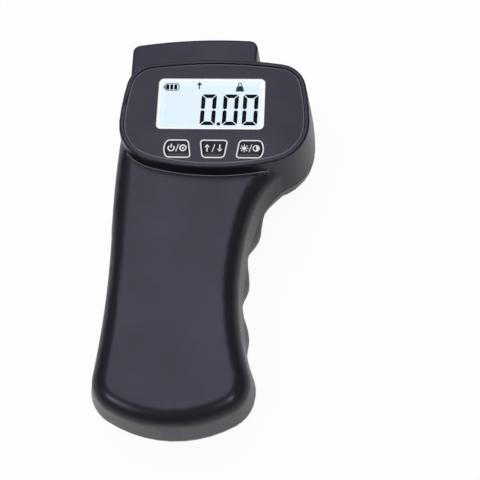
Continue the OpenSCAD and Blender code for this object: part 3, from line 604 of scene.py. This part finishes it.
def in_foot_corner(edge):
    """Whether an edge lies in the hollow corner between the grip's face and the head's wall."""
    normals = [face.normal for face in edge.link_faces]
    on_face = any(n.z > FACE_UP for n in normals)
    under_wall = any(n.y < -WALL_OUT and n.z < WALL_UP for n in normals)
    before_keys = (edge.verts[0].co.y + edge.verts[1].co.y) / 2 / MM < KEY_Y
    return on_face and under_wall and before_keys and edge.calc_face_angle_signed() < -BEAD_CORNER


def grip_bead():
    """A thin bead in the corner where the head's wall stands on the grip's face. Its pale grey is a painted
    highlight along the head's foot.
    """
    bead = copy_node("front_housing", "grip_bead", MOULDED_FLAT)
    bpy.ops.mesh.select_mode(type="EDGE")
    select_all()
    grid = bmesh.from_edit_mesh(bead.data)
    for edge in grid.edges:
        if in_foot_corner(edge):
            edge.select_set(False)
    grid.select_flush_mode()
    bmesh.update_edit_mesh(bead.data)
    bpy.ops.mesh.delete(type="EDGE")
    close_edit()
    bpy.ops.object.convert(target="CURVE")
    bead.data.bevel_depth = BEAD_R * MM
    bead.data.bevel_resolution = 2
    bead.data.use_fill_caps = True
    bpy.ops.object.convert(target="MESH")
    bead.data.materials.clear()
    bead.data.materials.append(HIGHLIGHT_BEAD)
    bpy.ops.object.shade_smooth()
    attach(bead, "housing")


def key_cap(key):
    """A key, with the lower part of its slope in a paler, glossier finish, as a painted highlight."""
    cap = soft_edged(key + "_key", key + "_cap", key + "_button", width=0.22, segments=3)
    open_edit(cap)
    cut_across((0, 1, 0), KEY_HIGHLIGHT_Y)
    close_edit()
    paint(cap, EDGE, lambda p: p.y < KEY_HIGHLIGHT_Y and KEY_TOP - KEY_HIGHLIGHT_DEPTH < p.z)


front_shell()
grip_bead()
smooth_skin("rear_housing", "rear_shell", "housing")
smooth_skin("battery_door", "battery_cover", "battery_cover")
smooth_skin("battery_springs", "contact_springs", "housing", WIRE_TURN)
smooth_skin("battery_leads", "red_leads", "housing", WIRE_TURN)
smooth_skin("cell_lead", "gauge_cable", "housing", WIRE_TURN)
panel_film()
soft_edged("window_lens", "window_glass", "housing", width=0.15)
soft_edged("lcd_frame", "display_carrier", "housing", width=0.2)
for key in KEY_X:
    key_cap(key)
soft_edged("housing_screws", "shell_screws", "housing", width=0.15)
soft_edged("door_screw", "cover_screw", "battery_cover", width=0.15)
soft_edged("guide_bush", "shaft_bush", "housing", width=0.15)
soft_edged("dust_seal", "shaft_seal", "housing", width=0.15)
bending("load_cell", "force_bar", width=0.2)
bending("strain_gauges", "foil_gauges", width=0.05)
soft_edged("shaft_nut", "clamp_nut", "sensing_end", width=0.15)
soft_edged("battery_contacts", "contact_plates", "housing", width=0.1)

# Display: a reading of zero in seven-part digits, and plain marks above it

DIGIT_W = 6.25
DIGIT_H = 13.6
DIGIT_Y = WINDOW.y - 1.95
UNITS_X = WINDOW.x - 1.0
TENTHS_STEP = 8.55
HUNDREDTHS_STEP = 16.2
STROKE = 1.9
SEGMENT_GAP = 0.34
CORNER_CUT = 0.4
CORNER_NEAR = 0.6
END_POINT = 0.5
END_NEAR = 0.2
LEAN = 0.022
POINT_SIDE = 1.3
POINT_X = WINDOW.x + 3.2
POINT_Y = WINDOW.y - 8.05
BATTERY_X = WINDOW.x - 15.6
BATTERY_Y = WINDOW.y + 7.88
BATTERY_LINE = 0.4
NUB_X = WINDOW.x - 18.7
BATTERY_BARS = 3
BAR_PITCH = 1.55
BAR_X = WINDOW.x - 17.35
BAR_Y = WINDOW.y + 7.87
WEIGHT_X = WINDOW.x + 10.85
WEIGHT_Y = WINDOW.y + 7.1
WEIGHT_W = 3.4
WEIGHT_H = 2.3
WEIGHT_TAPER = 0.68


def zero_digit(name, x):
    """A ring of six bars, mitred at the corners and parted at the middle."""
    digit = new_piece(name, SEGMENT)
    add_patch(x, DIGIT_Y, GLASS_TOP, DIGIT_W, DIGIT_H)
    hollow(STROKE)
    select_all()
    cut_across((0, 1, 0), DIGIT_Y)
    select_all()
    bpy.ops.mesh.edge_split(type="EDGE")
    select_all()
    bpy.ops.mesh.inset(thickness=SEGMENT_GAP / 2 * MM, use_individual=True)
    bpy.ops.mesh.select_all(action="INVERT")
    bpy.ops.mesh.delete(type="FACE")
    point_ends(digit, x)
    corner_x = DIGIT_W / 2 - CORNER_NEAR
    corner_y = DIGIT_H / 2 - CORNER_NEAR
    pick(digit, "VERT", lambda p: abs(p.x - x) > corner_x and abs(p.y - DIGIT_Y) > corner_y)
    round_corners(CORNER_CUT, segments=1)
    lean_right(digit)
    close_print(digit, "housing")
    return digit


def beside_bar(p, x):
    """How far a point lies from the middle line of the nearer upright bar."""
    return abs(abs(p.x - x) - (DIGIT_W - STROKE) / 2)


def point_ends(digit, x):
    """Bring the bars' ends at the middle to a point, by setting their corners back."""
    near = SEGMENT_GAP
    pick(digit, "EDGE", lambda p: abs(p.y - DIGIT_Y) < near)
    bpy.ops.mesh.subdivide(number_cuts=1, ngon=True)
    for way in (-1, 1):
        pick(digit, "VERT", lambda p: 0 < (p.y - DIGIT_Y) * way < near and beside_bar(p, x) > END_NEAR)
        shift(0, END_POINT * way)


def lean_right(piece):
    """Slide each row of points sideways by its height, so that the digit leans."""
    bpy.ops.mesh.select_mode(type="VERT")
    rows = sorted({round(v.co.y / MM, 3) for v in bmesh.from_edit_mesh(piece.data).verts})
    for row in rows:
        pick(piece, "VERT", lambda p: abs(p.y - row) < SAME_POINT)
        shift(LEAN * (row - DIGIT_Y), 0)


def copy_piece(piece, name, x):
    twin = link_object(name, piece.data.copy())
    open_edit(twin, "VERT")
    shift(x, 0)
    close_edit()
    return twin


def display_marks():
    """The decimal point and the battery's bars, then the battery's outline."""
    bars = new_piece("display_marks", SEGMENT)
    add_patch(POINT_X, POINT_Y, GLASS_TOP, POINT_SIDE, POINT_SIDE)
    for i in range(BATTERY_BARS):
        add_patch(BAR_X + BAR_PITCH * i, BAR_Y, GLASS_TOP, width=1.15, height=2.15)
    select_all()
    round_corners(radius=0.12, segments=3)
    close_print(bars, "housing")

    case = new_piece("battery_mark", OUTLINE)
    add_patch(BATTERY_X, BATTERY_Y, GLASS_TOP, width=5.6, height=3.3)
    round_corners(radius=0.9, segments=5)
    hollow(BATTERY_LINE)
    add_patch(NUB_X, BATTERY_Y, GLASS_TOP, width=0.6, height=1.5)
    round_corners(radius=0.2, segments=3)
    close_print(case, "housing")


def display_icons():
    """An arrow for pull, and a weight with a ring for its unit."""
    pull = new_piece("pull_mark", MARK)
    add_arrow(pull, WINDOW.x - 5.0, WINDOW.y + 8.5, GLASS_TOP, 1, bar=(0.5, 2.3), head=(2.2, 1.3))
    close_print(pull, "housing")

    weight = new_piece("weight_mark", MARK)
    add_patch(WEIGHT_X, WEIGHT_Y, GLASS_TOP, WEIGHT_W, WEIGHT_H)
    pick(weight, "VERT", lambda p: p.y > WEIGHT_Y)
    scale(WEIGHT_TAPER, 1, 1, (WEIGHT_X, WEIGHT_Y + WEIGHT_H / 2, 0))
    select_all()
    round_corners(radius=0.35, segments=4)
    add_loop(WEIGHT_X, WEIGHT_Y + 1.75, GLASS_TOP, radius=0.85, line=0.35, sides=24)
    close_print(weight, "housing")


units_digit = zero_digit("digit_units", UNITS_X)
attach(copy_piece(units_digit, "digit_tenths", TENTHS_STEP), "housing")
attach(copy_piece(units_digit, "digit_hundredths", HUNDREDTHS_STEP), "housing")
display_marks()
display_icons()

# Keys: a pale printed ring on the panel round each key, and plain signs on the caps

RING_W = 10.95
RING_H = 7.65
RING_SLANT = 1.15
RING_LINE = 0.5
RING_ROUND = 1.5
SIGN_Y = KEY_Y + 0.2
SIGN_LINE = 0.5
SIGN_LEFT = -2.2
SIGN_RIGHT = 2.3
SIGN_R = 1.4
SLASH_X = -0.35
SLASH_LEAN = 0.9
GAP_LOW = 0.55
GAP_HALF = 0.75
ARROW_X = 2.4
ARROW_BAR = (SIGN_LINE, 2.2)
ARROW_HEAD = (2.0, 1.2)
SUN_RAYS = 8
SUN_R = 0.78
RAY_R = 1.3
DISC_R = 1.35
DISC_LINE = 0.4


def key_ring(name, x, side):
    """The middle ring narrows downwards. An outer one has a pointed outer side, given by side."""
    ring = new_piece(name, PRINT)
    add_patch(x, KEY_Y, PANEL_TOP, RING_W, RING_H)
    if side == 0:
        pick(ring, "VERT", lambda p: p.y < KEY_Y)
        scale(1 - 2 * RING_SLANT / RING_W, 1, 1, (x, KEY_Y - RING_H / 2, 0))
    else:
        pick(ring, "EDGE", lambda p: (p.x - x) * side > RING_W / 4)
        bpy.ops.mesh.subdivide(number_cuts=1, ngon=True)
        pick(ring, "VERT", lambda p: (p.x - x) * side > 0 and abs(p.y - KEY_Y) > RING_H / 4)
        shift(-side * RING_SLANT, 0)
        pick(ring, "VERT", lambda p: (p.x - x) * side < 0 and p.y > KEY_Y)
        shift(side * RING_SLANT, 0)
    bpy.ops.mesh.select_mode(type="VERT")
    select_all()
    round_corners(RING_ROUND, segments=6)
    select_all()
    hollow(RING_LINE)
    close_print(ring, "housing")


def add_slash(piece, x):
    add_patch(x, SIGN_Y, KEY_TOP, width=0.34, height=3.1)
    pick(piece, "VERT", lambda p: p.y > SIGN_Y, within=True)
    shift(SLASH_LEAN, 0)


def power_sign():
    """A broken ring with a bar in its gap, and a plain ring with a dot for setting to zero."""
    x = KEY_X["power"]
    left = x + SIGN_LEFT
    right = x + SIGN_RIGHT
    sign = new_piece("power_sign", PRINT)
    add_loop(left, SIGN_Y - 0.1, KEY_TOP, SIGN_R, SIGN_LINE)
    pick(sign, "FACE", lambda p: p.y > SIGN_Y + GAP_LOW and abs(p.x - left) < GAP_HALF)
    bpy.ops.mesh.delete(type="FACE")
    add_patch(left, SIGN_Y + 0.85, KEY_TOP, width=SIGN_LINE, height=1.6)
    add_slash(sign, x + SLASH_X)
    add_loop(right, SIGN_Y, KEY_TOP, SIGN_R, SIGN_LINE)
    add_disc(right, SIGN_Y, KEY_TOP, radius=0.4, sides=20)
    close_print(sign, "power_button")


def unit_sign():
    """An arrow up and an arrow down."""
    x = KEY_X["unit"]
    sign = new_piece("unit_sign", PRINT)
    add_arrow(sign, x - ARROW_X, SIGN_Y, KEY_TOP, 1, ARROW_BAR, ARROW_HEAD)
    add_slash(sign, x - 0.4)
    add_arrow(sign, x + ARROW_X, SIGN_Y, KEY_TOP, -1, ARROW_BAR, ARROW_HEAD)
    close_print(sign, "unit_button")


def light_sign():
    """A sun, and a disc with one half filled."""
    x = KEY_X["light"]
    left = x + SIGN_LEFT
    right = x + SIGN_RIGHT
    sun = Vector((left, SIGN_Y, KEY_TOP)) * MM
    sign = new_piece("light_sign", PRINT)
    add_patch(left, SIGN_Y + RAY_R, KEY_TOP, width=0.36, height=0.62)
    bpy.ops.mesh.spin(steps=SUN_RAYS, dupli=True, angle=math.radians(360), center=sun, axis=(0, 0, 1))
    select_all()
    bpy.ops.mesh.remove_doubles(threshold=TOUCH * MM)
    add_disc(left, SIGN_Y, KEY_TOP, SUN_R, sides=32)
    add_slash(sign, x + SLASH_X)
    add_disc(right, SIGN_Y, KEY_TOP, DISC_R)
    bpy.ops.mesh.select_mode(type="FACE")
    inset(DISC_LINE)
    cut_across((1, 0, 0), right)
    pick(sign, "FACE", lambda p: 0 < right - p.x < 0.8 and abs(p.y - SIGN_Y) < 0.3)
    bpy.ops.mesh.delete(type="FACE")
    close_print(sign, "light_button")


key_ring("power_ring", KEY_X["power"], -1)
key_ring("unit_ring", KEY_X["unit"], 0)
key_ring("light_ring", KEY_X["light"], 1)
power_sign()
unit_sign()
light_sign()

# Sensing end: a turned stem whose mouth is threaded

STEM = middle("sensing_shaft") / MM
STEM_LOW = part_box("sensing_shaft")[0][2] / MM
STEM_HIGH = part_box("sensing_shaft")[1][2] / MM
BAR_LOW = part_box("load_cell")[0][2] / MM
STEM_R = 5.0
STEM_SIDES = 64
STEM_EDGE = 0.35
STUD_R = 2.5
BORE_R = 3.0
BORE_DEPTH = 8.0
THREAD_PITCH = 1.0
THREAD_TURNS = 6
THREAD_STEPS = 40
RIDGE_W = 0.6
RIDGE_FOOT = 0.9 * THREAD_PITCH
RIDGE_TIP = 0.15
RIDGE_IN = 0.2


def thread_ridge():
    """A ridge, narrow towards the axis, swept along the bore."""
    ridge = new_piece("thread_ridge", STEEL)
    bpy.ops.mesh.primitive_plane_add(size=MM, location=(0, 0, 0), rotation=(math.radians(90), 0, 0))
    scale(RIDGE_W, 1, RIDGE_FOOT, (0, 0, 0))
    pick(ridge, "VERT", lambda p: p.x < 0)
    scale(1, 1, RIDGE_TIP, (-RIDGE_W / 2, 0, 0))
    select_all()
    shift(BORE_R - RIDGE_IN, 0, STEM_LOW + THREAD_PITCH)
    close_edit()
    sweep = ridge.modifiers.new("helix", "SCREW")
    sweep.axis = "Z"
    sweep.angle = math.radians(360)
    sweep.screw_offset = THREAD_PITCH * MM
    sweep.iterations = THREAD_TURNS
    sweep.steps = THREAD_STEPS
    sweep.render_steps = THREAD_STEPS
    bpy.ops.object.modifier_apply(modifier=sweep.name)
    open_edit(ridge, "EDGE")
    shift(STEM.x, STEM.y)
    bpy.ops.mesh.select_all(action="DESELECT")
    bpy.ops.mesh.select_non_manifold()
    bpy.ops.mesh.fill()
    face_outwards()
    close_edit()
    return ridge


def threaded_stem():
    stem = new_piece("threaded_stem", STEEL)
    bpy.ops.mesh.primitive_cylinder_add(
        vertices=STEM_SIDES, radius=STEM_R * MM, depth=(BAR_LOW - STEM_LOW) * MM, location=(0, 0, 0))
    shift(STEM.x, STEM.y, (BAR_LOW + STEM_LOW) / 2)
    pick(stem, "FACE", lambda p: p.z > BAR_LOW - TOUCH)
    inset(STEM_R - STUD_R)
    extrude(0, 0, STEM_HIGH - BAR_LOW)
    pick(stem, "FACE", lambda p: p.z < STEM_LOW + TOUCH)
    inset(STEM_R - BORE_R)
    extrude(0, 0, BORE_DEPTH)
    close_edit()
    soften(stem, STEM_EDGE, 2, TURNED_EDGE)
    ridge = thread_ridge()
    deselect()
    ridge.select_set(True)
    stem.select_set(True)
    bpy.context.view_layer.objects.active = stem
    bpy.ops.object.join()
    smooth(TURNED_TURN)
    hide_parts("sensing_shaft")
    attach(stem, "sensing_end")


threaded_stem()

# Batteries: three cells with a jacket, rolled shoulders, a button and a flat foot

BAY = middle("battery_cells") / MM
CELL_R = 5.25
CELL_L = 44.5
CELL_SIDES = 48
CELL_PITCH = 11.0
SPRING_SHIFT = 3.0
SHOULDER = 0.5
LIP = 0.5
RECESS = 0.35
BUTTON_R = 2.4
BUTTON_H = 1.1
JACKET_EDGE = 0.3


def battery_cell(name):
    """A cell at the origin, its button towards +Y."""
    cell = new_piece(name, JACKET)
    body = CELL_L - BUTTON_H
    bpy.ops.mesh.primitive_cylinder_add(
        vertices=CELL_SIDES, radius=CELL_R * MM, depth=body * MM, location=(0, 0, 0),
        rotation=(math.radians(90), 0, 0))
    shift(0, -BUTTON_H / 2, 0)
    for end in (-1, 1):
        face_y = end * body / 2 - BUTTON_H / 2
        rise = RECESS + BUTTON_H if end > 0 else RECESS / 2
        pick(cell, "FACE", lambda p: (p.y - face_y) * end > -TOUCH)
        bpy.ops.mesh.bevel(offset=SHOULDER * MM, segments=3, affect="EDGES")
        pick(cell, "FACE", lambda p: (p.y - face_y) * end > -TOUCH)
        inset(LIP)
        extrude(0, -RECESS * end, 0)
        inset(CELL_R - SHOULDER - LIP - BUTTON_R)
        extrude(0, rise, 0)
    face_outwards()
    close_edit()
    paint(cell, STEEL, lambda p: math.hypot(p.x, p.z) < CELL_R - JACKET_EDGE)
    smooth(TURNED_TURN)
    return cell


def place_cell(cell, column, way):
    open_edit(cell, "VERT")
    if way < 0:
        bpy.ops.transform.rotate(value=math.radians(180), orient_axis="Z", center_override=(0, 0, 0))
    shift(BAY.x + column * CELL_PITCH, BAY.y + way * SPRING_SHIFT, BAY.z)
    close_edit()
    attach(cell, "housing")


def add_cells():
    first = battery_cell("cell_left")
    second = copy_piece(first, "cell_middle", 0)
    third = copy_piece(first, "cell_right", 0)
    place_cell(first, -1, 1)
    place_cell(second, 0, -1)
    place_cell(third, 1, 1)
    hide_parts("battery_cells")


add_cells()
